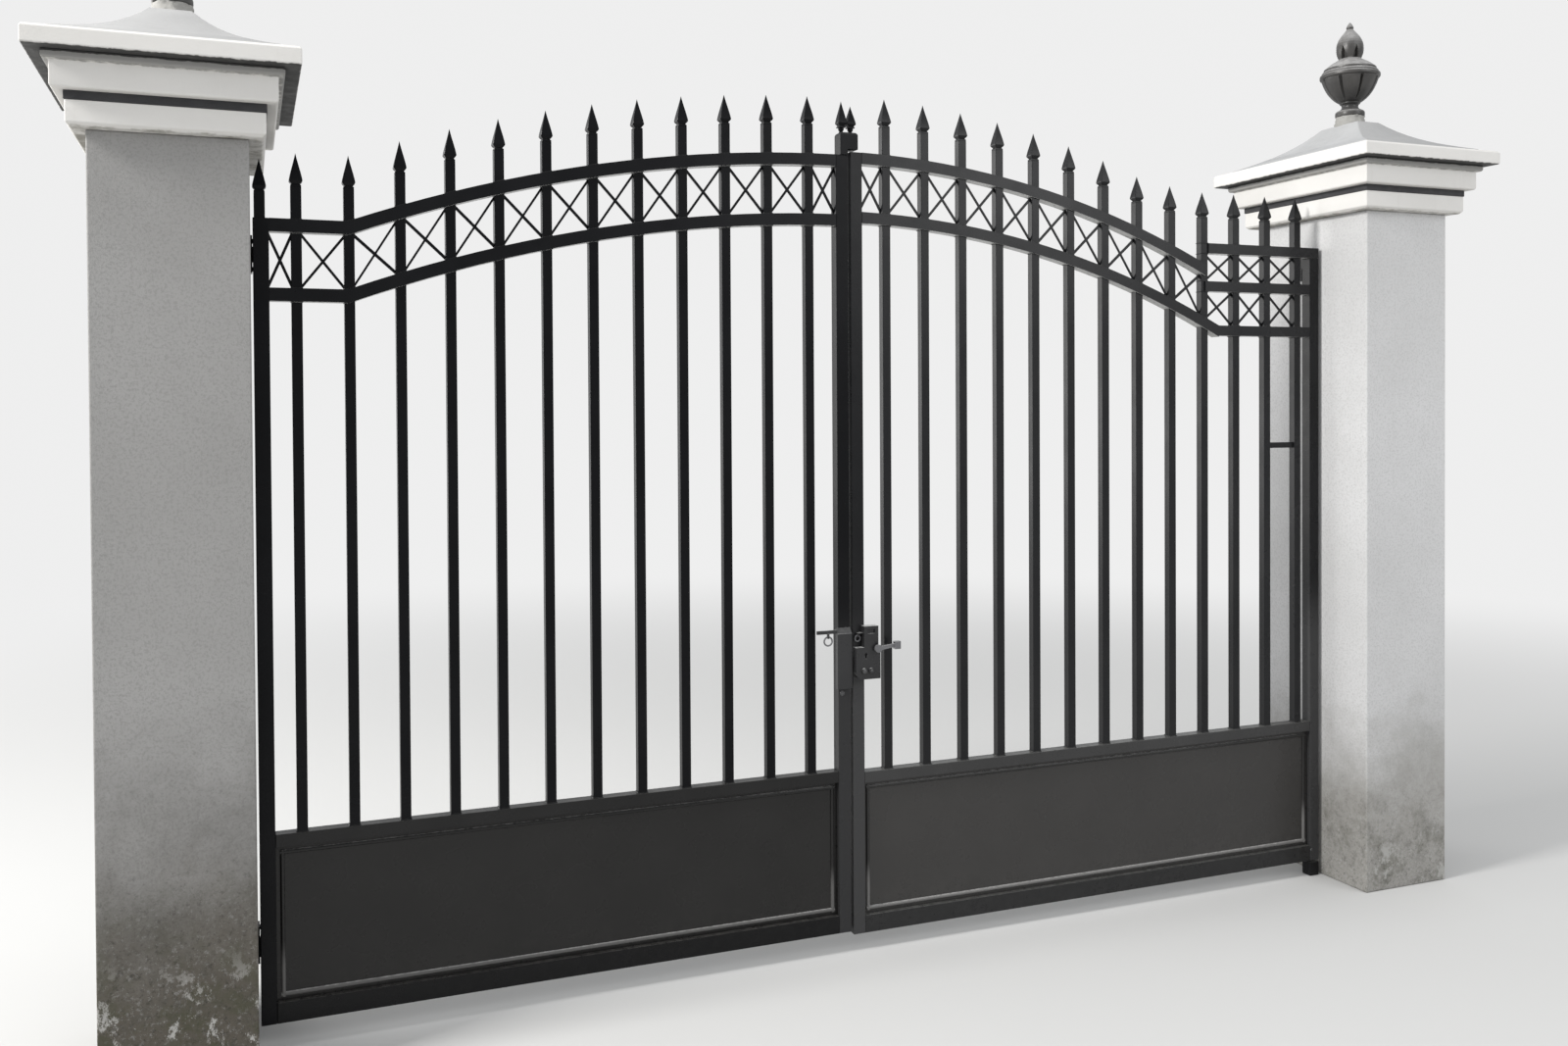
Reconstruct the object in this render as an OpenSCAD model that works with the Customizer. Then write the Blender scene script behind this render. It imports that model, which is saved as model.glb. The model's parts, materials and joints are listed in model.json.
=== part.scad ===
// Double-leaf driveway gate of square steel tube, hung between two rendered masonry piers.
// Millimetres, +Z up. X runs along the gate as seen from the street, +Y into the property.
// The origin is the middle of the left pier's foot, on the ground.

/* [Piers] */
// Width of each pier shaft, along the gate
pier_w = 329; // [300:1:400]
// Depth of each pier shaft, through the gate
pier_d = 478; // [420:1:540]
// Height of the plain shaft below the cornice
shaft_h = 2145; // [2000:1:2300]
// Height of the lower cornice moulding
lower_mould_h = 55; // [40:1:80]
// How far the lower moulding stands out from the shaft
lower_mould_out = 36; // [24:1:40]
// Height of the dark recessed band
dark_band_h = 19; // [12:1:40]
// How far the dark band stands out from the shaft
dark_band_out = 38; // [10:1:44]
// Height of the upper cornice moulding with its stepped top
upper_mould_h = 76; // [60:1:90]
// How far the upper moulding stands out from the shaft
upper_mould_out = 62; // [50:1:66]
// Height of the stepped member under the slab
soffit_h = 19; // [12:1:24]
// How far the stepped member stands out from the shaft
soffit_out = 76; // [70:1:82]
// Thickness of the cap slab
slab_t = 42; // [30:1:60]
// How far the cap slab stands out from the shaft
slab_out = 110; // [90:1:125]
// Height of the bell-cast pyramid on the slab
pyramid_h = 126; // [110:1:190]
// How far the pyramid's foot stands in from the slab's edge
pyramid_in = 42; // [30:1:60]
// Width of the flat on top of the pyramid
pyramid_top_w = 90; // [80:1:110]
// Depth of the pyramid's flat top, through the gate
pyramid_top_d = 160; // [120:1:180]

/* [Urn] */
// Height of the urn finial
urn_h = 343; // [280:1:400]
// Radius of the urn at its rim
urn_r = 94; // [80:1:115]

/* [Opening and leaves] */
// Distance of the gate's middle plane from the piers' middle plane, toward the street
gate_set = 31; // [0:1:80]
// Gap between the left pier and the left leaf
hinge_gap = 6; // [6:1:20]
// Gap between the right pier and the right leaf
right_hinge_gap = 14; // [6:1:24]
// Width of the left leaf
left_leaf_w = 1552; // [1500:2:1620]
// Width of the right leaf
right_leaf_w = 1670; // [1640:2:1760]
// Gap between the two leaves
meet_gap = 8; // [8:1:14]
// Height of the left leaf's lower edge above the ground
ground_gap = 60; // [40:1:100]
// How much lower the right leaf hangs
right_drop = 10; // [0:1:16]

/* [Tubes] */
// Side of the square stile tube
stile_w = 36; // [34:1:44]
// Side of the square rail tube
rail_t = 32; // [30:1:34]
// Height of the bottom rail
bottom_rail_h = 50; // [40:1:60]
// Side of the square picket tube
picket_w = 25; // [20:1:28]
// Thickness of the flat bars of the crosses
brace_t = 6; // [5:1:10]

/* [Arch] */
// Crown of the right leaf's arch above the top of the pier shafts
crown_over = 107; // [80:1:125]
// How much lower the left leaf's arch is at its crown
crown_step = 10; // [0:1:15]
// Radius of the left leaf's arched rails along their top edge
left_arch_r = 3790; // [3600:10:4000]
// Radius of the right leaf's arched rails along their top edge
right_arch_r = 2880; // [2800:10:3100]
// Drop from the upper arched rail to the lower one
arch_band = 166; // [140:1:175]
// Length of the left leaf's flat rail, from its outer edge to the bend
left_flat = 215; // [205:1:240]
// Length of the right leaf's flat rails, from its outer edge to the bend
right_flat = 399; // [392:1:412]
// Top of the right leaf's middle flat rail, below the upper arch at the bend
mid_rail_below = 28; // [20:1:40]
// Top of the right leaf's short end rail, above the upper arch at the bend
end_rail_above = 91; // [85:1:100]

/* [Pickets] */
// Number of pickets in the left leaf
left_pickets_n = 12; // [11:1:13]
// Number of pickets in the right leaf
right_pickets_n = 13; // [13:1:13]
// Outer edge of the left leaf to the middle of its first picket
left_first = 98; // [85:1:105]
// Meeting edge of the left leaf to the middle of its last picket
left_last = 115; // [100:1:125]
// Meeting edge of the right leaf to the middle of its first picket
right_first = 114; // [108:1:120]
// Outer edge of the right leaf to the middle of its last picket
right_last = 82; // [76:1:90]
// Height of a spear point with its neck
spear_h = 81; // [70:1:90]
// Width of a spear point where it is widest
spear_w = 31; // [29:1:34]
// Length of picket tube that stands above the rail
picket_over = 79; // [70:1:84]
// How much longer the right leaf's picket before the bend is
bend_extra = 25; // [0:1:30]
// Height of the short tie bar between the right leaf's last two pickets
tie_z = 1399; // [1300:1:1450]

/* [Kick panel] */
// Top of the rail over the left leaf's kick panel
panel_rail_z = 517; // [480:1:550]
// Thickness of the kick panel's sheet
sheet_t = 4; // [3:0.5:6]
// Radius of the half-round bead round the panel
bead_r = 5.5; // [4:0.5:8]
// Distance of the bead's middle from the frame
bead_in = 15; // [12:1:22]

/* [Hinges] */
// Radius of the hinge knuckles
knuckle_r = 10; // [9:0.5:11]
// Radius of the hinge pins
pin_r = 5; // [4:0.5:6]
// Height of the lower hinges
hinge_low_z = 260; // [200:10:400]
// Distance of the upper hinges below the top of the leaf's outer corner
hinge_top_drop = 64; // [60:1:200]
// Distance of the hinge line from the leaf's outer edge
hinge_in = 16; // [16:1:22]

/* [Lock] */
// Height of the lever's spindle above the ground
lever_z = 860; // [850:1:880]
// How far the lock case stands out from the stile
case_t = 24; // [20:1:30]
// Length of the lever from its spindle to its end
lever_len = 66; // [60:1:80]

/* [Hidden] */
$fn = 48;
run = 0.1;
spindle_r = 6;
lever_clear = 5;
gate_y = -gate_set;
left_in = pier_w / 2;
lx0 = left_in + hinge_gap;
lx1 = lx0 + left_leaf_w;
rx0 = lx1 + meet_gap;
rx1 = rx0 + right_leaf_w;
right_in = rx1 + right_hinge_gap;
right_pier_x = right_in + pier_w / 2;
mid_x = (lx1 + rx0) / 2;
l_bend = lx0 + left_flat;
r_bend = rx1 - right_flat;
left_z0 = ground_gap;
right_z0 = ground_gap - right_drop;
left_panel_z = panel_rail_z;
right_panel_z = panel_rail_z - right_drop;
right_crown_z = shaft_h + crown_over;
left_crown_z = right_crown_z - crown_step;
// Height of an arch's top edge at x, for a radius and a crown
function arch_at(x, r, crown) = crown - r + sqrt(pow(r, 2) - pow(x - mid_x, 2));
// Height of the same rail's lower edge at x
function under_at(x, r, crown) = crown - r + sqrt(pow(r - rail_t, 2) - pow(x - mid_x, 2));
left_flat_z = arch_at(l_bend, left_arch_r, left_crown_z);
right_bend_z = arch_at(r_bend, right_arch_r, right_crown_z);
right_flat_z = right_bend_z - arch_band;
mid_rail_z = right_bend_z - mid_rail_below;
end_rail_z = right_bend_z + end_rail_above;
hinge_left_z = left_flat_z - hinge_top_drop;
hinge_right_z = end_rail_z - hinge_top_drop;
// Top edge and lower edge of the left leaf's upper rail at x
function left_top(x) = x < l_bend ? left_flat_z : arch_at(x, left_arch_r, left_crown_z);
function left_under(x) = x < l_bend ? left_flat_z - rail_t : under_at(x, left_arch_r, left_crown_z);
// The same for the right leaf's arch
function right_arch(x) = arch_at(x, right_arch_r, right_crown_z);
function right_under(x) = under_at(x, right_arch_r, right_crown_z);
function right_lower(x) = x < r_bend ? right_arch(x) - arch_band : right_flat_z;
left_pitch = (left_leaf_w - left_first - left_last) / (left_pickets_n - 1);
left_xs = [for (i = [0 : left_pickets_n - 1]) lx0 + left_first + i * left_pitch];
right_pitch = (right_leaf_w - right_first - right_last) / (right_pickets_n - 1);
right_xs = [for (i = [0 : right_pickets_n - 1]) rx0 + right_first + i * right_pitch];
// The tenth picket of the right leaf stands at the bend and carries the short end rail
post_x = right_xs[right_pickets_n - 4];
function right_top(x) = x > post_x - 1 ? end_rail_z
    : right_arch(x) + (x > post_x - 1.5 * right_pitch ? bend_extra : 0);
hinge_y = gate_y + stile_w / 2 + knuckle_r + 6;
left_hinge_x = lx0 + hinge_in;
right_hinge_x = rx1 - hinge_in;
knuckle_h = 38;
z_mould1 = shaft_h + lower_mould_h;
z_band1 = z_mould1 + dark_band_h;
z_mould2 = z_band1 + upper_mould_h;
z_slab1 = z_mould2 + slab_t;
z_top = z_slab1 + pyramid_h;
front_y = gate_y - stile_w / 2;
lock_z = lever_z + 4;
iron = [0.16, 0.165, 0.175];
panel_iron = [0.2, 0.19, 0.18];
render_grey = [0.78, 0.77, 0.75];
cream = [0.9, 0.89, 0.86];
band_grey = [0.27, 0.27, 0.28];
cap_grey = [0.6, 0.6, 0.6];
urn_grey = [0.4, 0.4, 0.42];

// A box given by its two corners
module block(a, b) {
    translate(a)
        cube([b[0] - a[0], b[1] - a[1], b[2] - a[2]]);
}

// A flat shape drawn in X and Z, given depth d about the plane y
module upright(y, d) {
    translate([0, y + d / 2, 0])
        rotate([90, 0, 0])
            linear_extrude(d)
                children();
}

// A mitred run of moulding round a rectangle: p lists [height, distance outside the rectangle]
module mitred(w, d, p) {
    intersection() {
        upright(0, d + 4 * slab_out)
            polygon(concat([for (q = p) [w / 2 + q[1], q[0]]],
                [for (i = [len(p) - 1 : -1 : 0]) [-w / 2 - p[i][1], p[i][0]]]));
        rotate([0, 0, 90])
            upright(0, w + 4 * slab_out)
                polygon(concat([for (q = p) [d / 2 + q[1], q[0]]],
                    [for (i = [len(p) - 1 : -1 : 0]) [-d / 2 - p[i][1], p[i][0]]]));
    }
}

// Parts of one pier, drawn about the pier's own middle

module shaft() {
    color(render_grey)
        block([-pier_w / 2, -pier_d / 2, 0], [pier_w / 2, pier_d / 2, shaft_h]);
}

module cornice() {
    color(cream) {
        mitred(pier_w, pier_d, [
            [shaft_h, lower_mould_out - 8],
            [shaft_h + 8, lower_mould_out],
            [z_mould1, lower_mould_out]
        ]);
        mitred(pier_w, pier_d, [
            [z_band1, upper_mould_out - 4],
            [z_band1 + 4, upper_mould_out],
            [z_mould2 - soffit_h, upper_mould_out],
            [z_mould2 - soffit_h, soffit_out - 4],
            [z_mould2 - soffit_h + 4, soffit_out],
            [z_mould2, soffit_out]
        ]);
    }
}

module dark_band() {
    color(band_grey)
        mitred(pier_w, pier_d, [[z_mould1, dark_band_out], [z_band1, dark_band_out]]);
}

module cap_slab() {
    color(cream)
        mitred(pier_w, pier_d, [
            [z_mould2, slab_out - 3],
            [z_mould2 + 3, slab_out],
            [z_slab1 - 5, slab_out],
            [z_slab1, slab_out - 5]
        ]);
}

// The cap rises in a hollow curve from a thin foot to the flat that carries the urn
pyramid_n = 10;
pyramid_run_x = pier_w / 2 + slab_out - pyramid_in - pyramid_top_w / 2;
pyramid_run_y = pier_d / 2 + slab_out - pyramid_in - pyramid_top_d / 2;
function bell(t) = 0.6 * t + 0.4 * pow(t, 3);
module pyramid_cap() {
    color(cap_grey)
        intersection() {
            upright(0, pier_d + 4 * slab_out)
                polygon(concat(
                    [
                        [-pyramid_top_w / 2 - pyramid_run_x, z_slab1],
                        [pyramid_top_w / 2 + pyramid_run_x, z_slab1]
                    ],
                    [for (i = [0 : pyramid_n]) [
                        pyramid_top_w / 2 + pyramid_run_x * (1 - i / pyramid_n),
                        z_slab1 + 10 + (pyramid_h - 10) * bell(i / pyramid_n)
                    ]],
                    [for (i = [pyramid_n : -1 : 0]) [
                        -pyramid_top_w / 2 - pyramid_run_x * (1 - i / pyramid_n),
                        z_slab1 + 10 + (pyramid_h - 10) * bell(i / pyramid_n)
                    ]]
                ));
            rotate([0, 0, 90])
                upright(0, pier_w + 4 * slab_out)
                    polygon(concat(
                        [
                            [-pyramid_top_d / 2 - pyramid_run_y, z_slab1],
                            [pyramid_top_d / 2 + pyramid_run_y, z_slab1]
                        ],
                        [for (i = [0 : pyramid_n]) [
                            pyramid_top_d / 2 + pyramid_run_y * (1 - i / pyramid_n),
                            z_slab1 + 10 + (pyramid_h - 10) * bell(i / pyramid_n)
                        ]],
                        [for (i = [pyramid_n : -1 : 0]) [
                            -pyramid_top_d / 2 - pyramid_run_y * (1 - i / pyramid_n),
                            z_slab1 + 10 + (pyramid_h - 10) * bell(i / pyramid_n)
                        ]]
                    ));
        }
}

// The urn's turned outline as shares of its height and rim radius: foot, neck, bowl, rim, lid, bud
function urn_outline() = [
    [0.5, 0], [0.48, 0.085], [0.49, 0.095], [0.49, 0.13], [0.44, 0.15],
    [0.31, 0.165], [0.275, 0.185], [0.28, 0.2], [0.33, 0.215], [0.49, 0.25],
    [0.64, 0.29], [0.74, 0.325], [0.81, 0.36], [0.88, 0.4], [0.925, 0.435],
    [0.96, 0.46], [1, 0.47], [1, 0.495], [0.95, 0.505], [0.93, 0.525],
    [0.86, 0.535], [0.84, 0.56], [0.76, 0.58], [0.62, 0.605], [0.46, 0.635], [0.38, 0.65],
    [0.4, 0.67], [0.445, 0.71], [0.45, 0.76], [0.43, 0.8], [0.38, 0.835],
    [0.27, 0.88], [0.17, 0.915], [0.11, 0.935], [0.11, 0.955], [0.09, 0.975], [0.03, 1]
];
module urn() {
    color(urn_grey)
        translate([0, 0, z_top])
            rotate_extrude()
                polygon(concat(
                    [[0, 0]],
                    [for (q = urn_outline()) [q[0] * urn_r, q[1] * urn_h]],
                    [[0, urn_h]]
                ));
}

module at_right_pier() {
    translate([right_pier_x, 0, 0])
        children();
}

module left_pier_shaft() { shaft(); }
module left_cornice() { cornice(); }
module left_dark_band() { dark_band(); }
module left_cap_slab() { cap_slab(); }
module left_pyramid_cap() { pyramid_cap(); }
module left_urn() { urn(); }
module right_pier_shaft() { at_right_pier() shaft(); }
module right_cornice() { at_right_pier() cornice(); }
module right_dark_band() { at_right_pier() dark_band(); }
module right_cap_slab() { at_right_pier() cap_slab(); }
module right_pyramid_cap() { at_right_pier() pyramid_cap(); }
module right_urn() { at_right_pier() urn(); }

// Hinges: a plate on the pier's side carries an arm, a knuckle and the pin that the leaf turns on.
// s is 1 for the left pier and -1 for the right one.

bracket_t = 5;
bracket_y0 = gate_y + stile_w / 2 + 6;
bracket_y1 = hinge_y + 34;

module bracket(face_x, x, z, s) {
    color(iron) {
        translate([0, 0, z - knuckle_h - 26])
            block([min(face_x, face_x + s * bracket_t), bracket_y0, 0],
                [max(face_x, face_x + s * bracket_t), bracket_y1, knuckle_h + 52]);
        block([min(face_x, x), hinge_y - 5, z - knuckle_h - 1], [max(face_x, x), hinge_y + 5, z - 1]);
        translate([x, hinge_y, z - knuckle_h - 1])
            cylinder(r = knuckle_r, h = knuckle_h);
        translate([x, hinge_y, z - 6])
            cylinder(r = pin_r, h = knuckle_h + 4);
        for (dz = [-knuckle_h - 15, 15])
            translate([face_x + s * bracket_t, bracket_y1 - 12, z + dz])
                rotate([0, s * 90, 0])
                    cylinder(r = 6, h = 4);
    }
}

module left_hinge_brackets() {
    for (z = [hinge_low_z, hinge_left_z])
        bracket(left_in, left_hinge_x, z, 1);
}

module right_hinge_brackets() {
    for (z = [hinge_low_z, hinge_right_z])
        bracket(right_in, right_hinge_x, z, -1);
}

// The leaf's half of a hinge: a knuckle over the pin, on a strap welded to the back of the stile
module knuckle(x, z, s) {
    color(iron)
        difference() {
            union() {
                translate([x, hinge_y, z])
                    cylinder(r = knuckle_r, h = knuckle_h);
                block([min(x - 12 * s, x + 18 * s), gate_y + stile_w / 2, z],
                    [max(x - 12 * s, x + 18 * s), gate_y + stile_w / 2 + 6, z + knuckle_h]);
                block([x - 6, gate_y + stile_w / 2, z], [x + 6, hinge_y, z + knuckle_h]);
            }
            translate([x, hinge_y, z - 1])
                cylinder(r = pin_r + run, h = knuckle_h + 2);
        }
}

module left_hinge_knuckles() {
    for (z = [hinge_low_z, hinge_left_z])
        knuckle(left_hinge_x, z, 1);
}

module right_hinge_knuckles() {
    for (z = [hinge_low_z, hinge_right_z])
        knuckle(right_hinge_x, z, -1);
}

// A short square post stands under the right leaf's outer corner
module right_foot_post() {
    color(iron)
        block([rx1 - stile_w, gate_y - stile_w / 2, 0], [rx1, gate_y + stile_w / 2, right_z0 - 6]);
}

// Frame of the leaves

module stile(x, z0, z1) {
    color(iron)
        block([x, gate_y - stile_w / 2, z0], [x + stile_w, gate_y + stile_w / 2, z1]);
}

module left_hinge_stile() { stile(lx0, left_z0, left_flat_z); }
module left_meeting_stile() { stile(lx1 - stile_w, left_z0, left_top(lx1 - stile_w)); }
module right_hinge_stile() { stile(rx1 - stile_w, right_z0, end_rail_z - rail_t); }
module right_meeting_stile() { stile(rx0, right_z0, right_arch(rx0 + stile_w)); }

// The pickets' tubes, cut out of whatever they pass through
module picket_holes(xs, z1) {
    for (x = xs)
        block([x - picket_w / 2, gate_y - picket_w / 2, panel_rail_z],
            [x + picket_w / 2, gate_y + picket_w / 2, z1]);
}

// A band of an arch between x0 and x1, its top edge of radius r with its crown at the height crown
module arch_band_shape(x0, x1, r, crown) {
    intersection() {
        translate([mid_x, crown - r])
            difference() {
                circle(r = r, $fn = 360);
                circle(r = r - rail_t, $fn = 360);
            }
        translate([x0, crown - r / 3])
            square([x1 - x0, r / 2]);
    }
}

module left_rail(drop) {
    x0 = lx0 + stile_w;
    color(iron)
        difference() {
            upright(gate_y, stile_w) {
                arch_band_shape(l_bend, lx1 - stile_w, left_arch_r, left_crown_z - drop);
                translate([x0, left_flat_z - drop - rail_t])
                    square([l_bend - x0 + 0.01, rail_t]);
            }
            picket_holes(left_xs, left_crown_z + 200);
        }
}

module left_upper_rail() { left_rail(0); }
module left_lower_rail() { left_rail(arch_band); }

module right_upper_rail() {
    color(iron)
        difference() {
            upright(gate_y, stile_w)
                arch_band_shape(rx0 + stile_w, post_x, right_arch_r, right_crown_z);
            picket_holes(right_xs, right_crown_z + 200);
        }
}

module right_lower_rail() {
    color(iron)
        difference() {
            upright(gate_y, stile_w) {
                arch_band_shape(rx0 + stile_w, r_bend, right_arch_r, right_crown_z - arch_band);
                translate([r_bend - 0.01, right_flat_z - rail_t])
                    square([right_flat - stile_w + 0.01, rail_t]);
            }
            picket_holes(right_xs, right_crown_z + 200);
        }
}

// The middle rail runs from the picket at the bend to the stile, the end rail over the stile's top
module right_end_rails() {
    color(iron)
        difference() {
            union() {
                upright(gate_y, stile_w)
                    translate([post_x, mid_rail_z - rail_t])
                        square([rx1 - stile_w - post_x, rail_t]);
                block([post_x + picket_w / 2, gate_y - stile_w / 2, end_rail_z - rail_t],
                    [rx1, gate_y + stile_w / 2, end_rail_z]);
            }
            picket_holes(right_xs, right_crown_z + 200);
        }
}

module panel_rails(x0, x1, z0, z1) {
    color(iron) {
        block([x0, gate_y - stile_w / 2, z0], [x1, gate_y + stile_w / 2, z0 + bottom_rail_h]);
        block([x0, gate_y - stile_w / 2, z1 - rail_t], [x1, gate_y + stile_w / 2, z1]);
    }
}

module left_panel_rails() { panel_rails(lx0 + stile_w, lx1 - stile_w, left_z0, left_panel_z); }
module right_panel_rails() { panel_rails(rx0 + stile_w, rx1 - stile_w, right_z0, right_panel_z); }

// Pickets and their spears

module picket(x, z0, z1) {
    color(iron)
        block([x - picket_w / 2, gate_y - picket_w / 2, z0],
            [x + picket_w / 2, gate_y + picket_w / 2, z1]);
}

module left_pickets() {
    for (x = left_xs)
        picket(x, left_panel_z, left_top(x) + picket_over);
}

module right_pickets() {
    for (x = right_xs)
        picket(x, right_panel_z, right_top(x) + picket_over);
}

// A short tie bar between the right leaf's last two pickets
module right_tie_bar() {
    color(iron)
        block([right_xs[right_pickets_n - 2] + picket_w / 2, gate_y - 5, tie_z],
            [right_xs[right_pickets_n - 1] - picket_w / 2, gate_y + 5, tie_z + 18]);
}

// Side outline of a spear point: neck, shoulder, long taper
module spear_outline(w, h) {
    polygon([
        [-w * 0.3, 0], [w * 0.3, 0], [w * 0.3, h * 0.08], [w / 2, h * 0.18],
        [w * 0.34, h * 0.5], [w * 0.02, h], [-w * 0.02, h], [-w * 0.34, h * 0.5],
        [-w / 2, h * 0.18], [-w * 0.3, h * 0.08]
    ]);
}

// A four-sided spear point standing on height z
module spear(x, z, w, h) {
    color(iron)
        translate([x, gate_y, z])
            intersection() {
                upright(0, w + 2)
                    spear_outline(w, h);
                rotate([0, 0, 90])
                    upright(0, w + 2)
                        spear_outline(w, h);
            }
}

module left_spears() {
    for (x = left_xs)
        spear(x, left_top(x) + picket_over, spear_w, spear_h);
    // The hinge stile ends in a stub of picket tube with a spear of its own, clear of the cornice
    sx = lx0 + picket_w / 2 + 3;
    over = min(picket_over, shaft_h - 6 - spear_h - left_flat_z);
    color(iron)
        block([sx - picket_w / 2, gate_y - picket_w / 2, left_flat_z],
            [sx + picket_w / 2, gate_y + picket_w / 2, left_flat_z + over]);
    spear(sx, left_flat_z + over, spear_w, spear_h);
    small_spear(mid_x - 16, 74);
    small_spear(mid_x + 12, 62);
}

module right_spears() {
    for (x = right_xs)
        spear(x, right_top(x) + picket_over, spear_w, spear_h);
}

// Crosses between the pickets. A bar runs from (xa, za) to (xb, zb) and ends upright on both pickets.
module bar(xa, za, xb, zb, h) {
    polygon([[xa, za - h], [xb, zb - h], [xb, zb + h], [xa, za + h]]);
}

// One cross in a cell: lo and up are the rails' edges at the cell's left side, lo2 and up2 at its right
module cross(xa, xb, lo, up, lo2, up2) {
    rise = (up + up2 - lo - lo2) / 2;
    h = brace_t / 2 * sqrt(pow(xb - xa, 2) + pow(rise, 2)) / (xb - xa);
    e = h + 0.5;
    bar(xa, lo + e, xb, up2 - e, h);
    bar(xa, up - e, xb, lo2 + e, h);
}

module left_cross_braces() {
    edges = concat([lx0 + stile_w - picket_w / 2], left_xs, [lx1 - stile_w + picket_w / 2]);
    color(iron)
        upright(gate_y, brace_t)
            for (i = [0 : left_pickets_n]) {
                xa = edges[i] + picket_w / 2;
                xb = edges[i + 1] - picket_w / 2;
                cross(xa, xb, left_top(xa) - arch_band, left_under(xa),
                    left_top(xb) - arch_band, left_under(xb));
            }
}

module right_cross_braces() {
    edges = concat([rx0 + stile_w - picket_w / 2], right_xs, [rx1 - stile_w + picket_w / 2]);
    n = right_pickets_n;
    color(iron)
        upright(gate_y, brace_t) {
            for (i = [0 : n - 4]) {
                xa = edges[i] + picket_w / 2;
                xb = edges[i + 1] - picket_w / 2;
                cross(xa, xb, right_lower(xa), right_under(xa), right_lower(xb), right_under(xb));
            }
            for (i = [n - 3 : n - 1]) {
                xa = edges[i] + picket_w / 2;
                xb = edges[i + 1] - picket_w / 2;
                cross(xa, xb, right_lower(xa), mid_rail_z - rail_t, right_lower(xb), mid_rail_z - rail_t);
                cross(xa, xb, mid_rail_z, end_rail_z - rail_t, mid_rail_z, end_rail_z - rail_t);
            }
        }
}

// Kick panels with their beading

module kick_panel(x0, x1, z0, z1) {
    color(panel_iron)
        block([x0, gate_y - sheet_t / 2, z0], [x1, gate_y + sheet_t / 2, z1]);
}

// A half-round bead on the street side of the sheet, in a rectangle inside the frame
module beading(x0, x1, z0, z1) {
    xa = x0 + bead_in;
    xb = x1 - bead_in;
    za = z0 + bead_in;
    zb = z1 - bead_in;
    face = gate_y - sheet_t / 2;
    color(iron)
        intersection() {
            union() {
                for (z = [za, zb])
                    translate([xa - bead_r, face, z])
                        rotate([0, 90, 0])
                            cylinder(r = bead_r, h = xb - xa + 2 * bead_r);
                for (x = [xa, xb])
                    translate([x, face, za - bead_r])
                        cylinder(r = bead_r, h = zb - za + 2 * bead_r);
            }
            block([x0, face - 2 * bead_r, z0], [x1, face, z1]);
        }
}

left_sheet = [left_z0 + bottom_rail_h, left_panel_z - rail_t];
right_sheet = [right_z0 + bottom_rail_h, right_panel_z - rail_t];
module left_kick_panel() { kick_panel(lx0 + stile_w, lx1 - stile_w, left_sheet[0], left_sheet[1]); }
module right_kick_panel() { kick_panel(rx0 + stile_w, rx1 - stile_w, right_sheet[0], right_sheet[1]); }
module left_beading() { beading(lx0 + stile_w, lx1 - stile_w, left_sheet[0], left_sheet[1]); }
module right_beading() { beading(rx0 + stile_w, rx1 - stile_w, right_sheet[0], right_sheet[1]); }

// Block over the meeting line: it stands on the left stile and reaches clear over the right one
finial_w = 54;
finial_d = 42;
block_z0 = left_top(lx1 - stile_w);
block_over = right_crown_z + 6;
block_z1 = block_z0 + 57;
module meeting_block() {
    color(iron) {
        block([mid_x - finial_w / 2, gate_y - finial_d / 2, block_z0],
            [lx1, gate_y + finial_d / 2, block_over + 5]);
        translate([mid_x, gate_y, 0])
            mitred(finial_w, finial_d, [
                [block_over, 0], [block_z1, 0], [block_z1 + 4, -2], [block_z1 + 7, -5]
            ]);
    }
}

// A small spear on a ball collar, standing on the block
module small_spear(x, h) {
    z = block_z1 + 7;
    color(iron) {
        translate([x, gate_y, z])
            cylinder(r = 6, h = 8);
        translate([x, gate_y, z + 9])
            sphere(r = 8);
    }
    spear(x, z + 14, 26, h);
}

// Keeper on the left meeting stile: a sleeve with a sloping top and a tab that carries the ring
left_ring_r = 12;
right_ring_r = 8;
ring_wire = 2.3;
keeper_x0 = lx1 - stile_w - 8;
keeper_top = lever_z + 60;
module keeper_box() {
    color(iron) {
        rotate([90, 0, 90])
            translate([0, 0, keeper_x0])
                linear_extrude(stile_w + 8)
                    polygon([
                        [front_y, keeper_top - 170], [front_y, keeper_top],
                        [front_y - 12, keeper_top - 14], [front_y - 14, keeper_top - 16],
                        [front_y - 14, keeper_top - 170]
                    ]);
        difference() {
            union() {
                block(
                    [keeper_x0 - 60, front_y - 10, keeper_top - 14],
                    [keeper_x0, front_y - 4, keeper_top - 4]
                );
                block(
                    [left_ring_x - 2, front_y - 12, keeper_top - 27],
                    [left_ring_x + 2, front_y - 2, keeper_top - 12]
                );
            }
            translate([left_ring_x - 5, front_y - 7, keeper_top - 22])
                rotate([0, 90, 0])
                    cylinder(r = ring_wire + 1, h = 10);
        }
    }
}

left_ring_x = keeper_x0 - 26;
module ring(x, y, z, r) {
    color(iron)
        translate([x, y, z])
            rotate([90, 0, 0])
                rotate_extrude()
                    translate([r, 0])
                        circle(r = ring_wire, $fn = 24);
}

module left_pull_ring() {
    ring(left_ring_x, front_y - 7, keeper_top - 22 - left_ring_r - 0.6, left_ring_r);
}

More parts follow.
